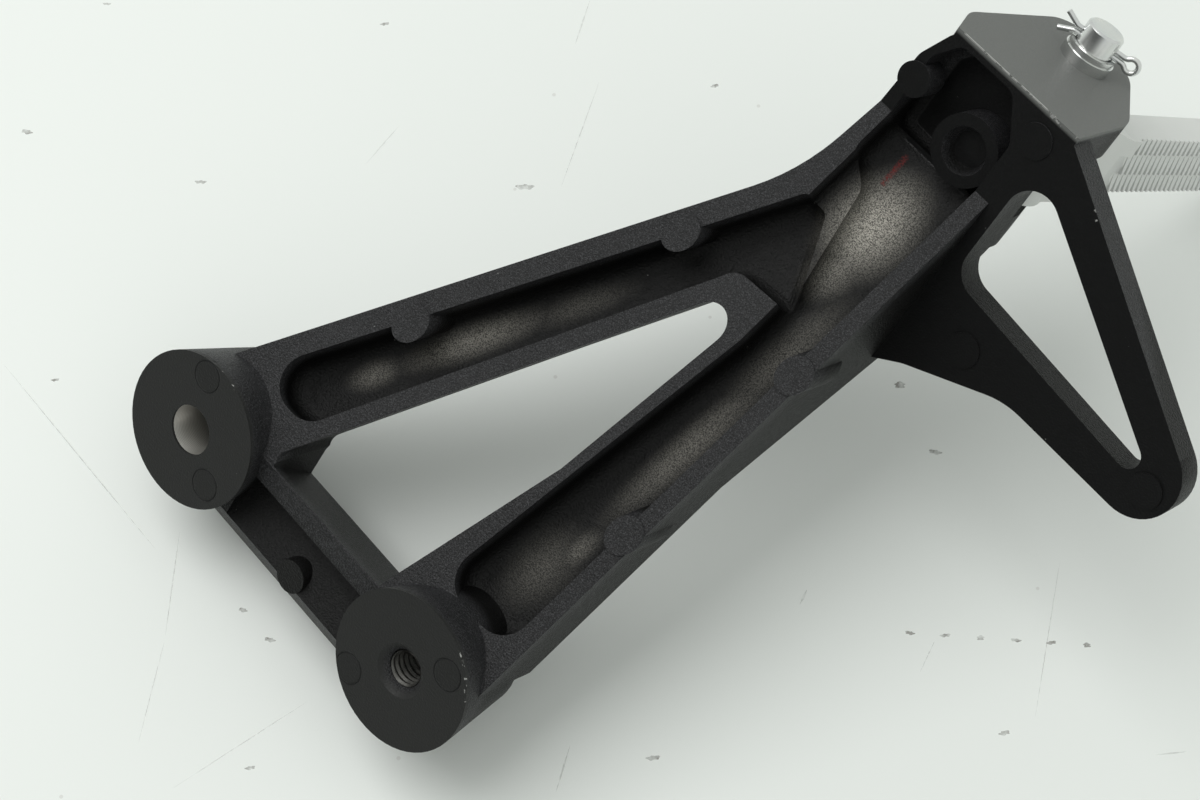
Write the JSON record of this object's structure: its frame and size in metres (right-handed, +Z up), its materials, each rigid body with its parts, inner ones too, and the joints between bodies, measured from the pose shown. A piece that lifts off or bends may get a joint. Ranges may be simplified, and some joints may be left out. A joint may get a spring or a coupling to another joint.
{
  "type": "passenger footpeg",
  "caption": "Left-hand motorcycle passenger footpeg: black cast bracket with bolt bosses, window between its arms and heel guard, and a folding serrated peg on a clevis pin.",
  "frame": {"origin": "centre of the lower bolt boss's mounting face, on its hole's axis", "axes": "+X to the rear of the motorcycle, +Y inboard along the bolt axes, out of the bosses' faces, +Z up"},
  "size_m": [0.147, 0.1679, 0.14],
  "materials": {
    "black_casting": "satin black paint",
    "peg_alloy": "bead blasted",
    "zinc_steel": "zinc plated",
    "spring_steel": "plain"
  },
  "bodies": {
    "bracket": {"bracket": "black_casting", "pivot_pin": "zinc_steel", "spacer_washer": "zinc_steel", "thin_washer": "zinc_steel", "split_pin": "zinc_steel", "detent_spring": "spring_steel"},
    "peg": {"peg": "peg_alloy"},
    "detent": {"detent_ball": "spring_steel"}
  },
  "joints": [
    {"name": "peg_fold", "type": "hinge", "parent": "bracket", "child": "peg", "pos_m": [0.10775, -0.0918, 0.061], "axis": [-1, 0, 0], "range_deg": [0, 78]},
    {"name": "detent_press", "type": "slide", "parent": "bracket", "child": "detent", "axis": [0, 1, 0], "range_m": [0, 0.0008]}
  ]
}
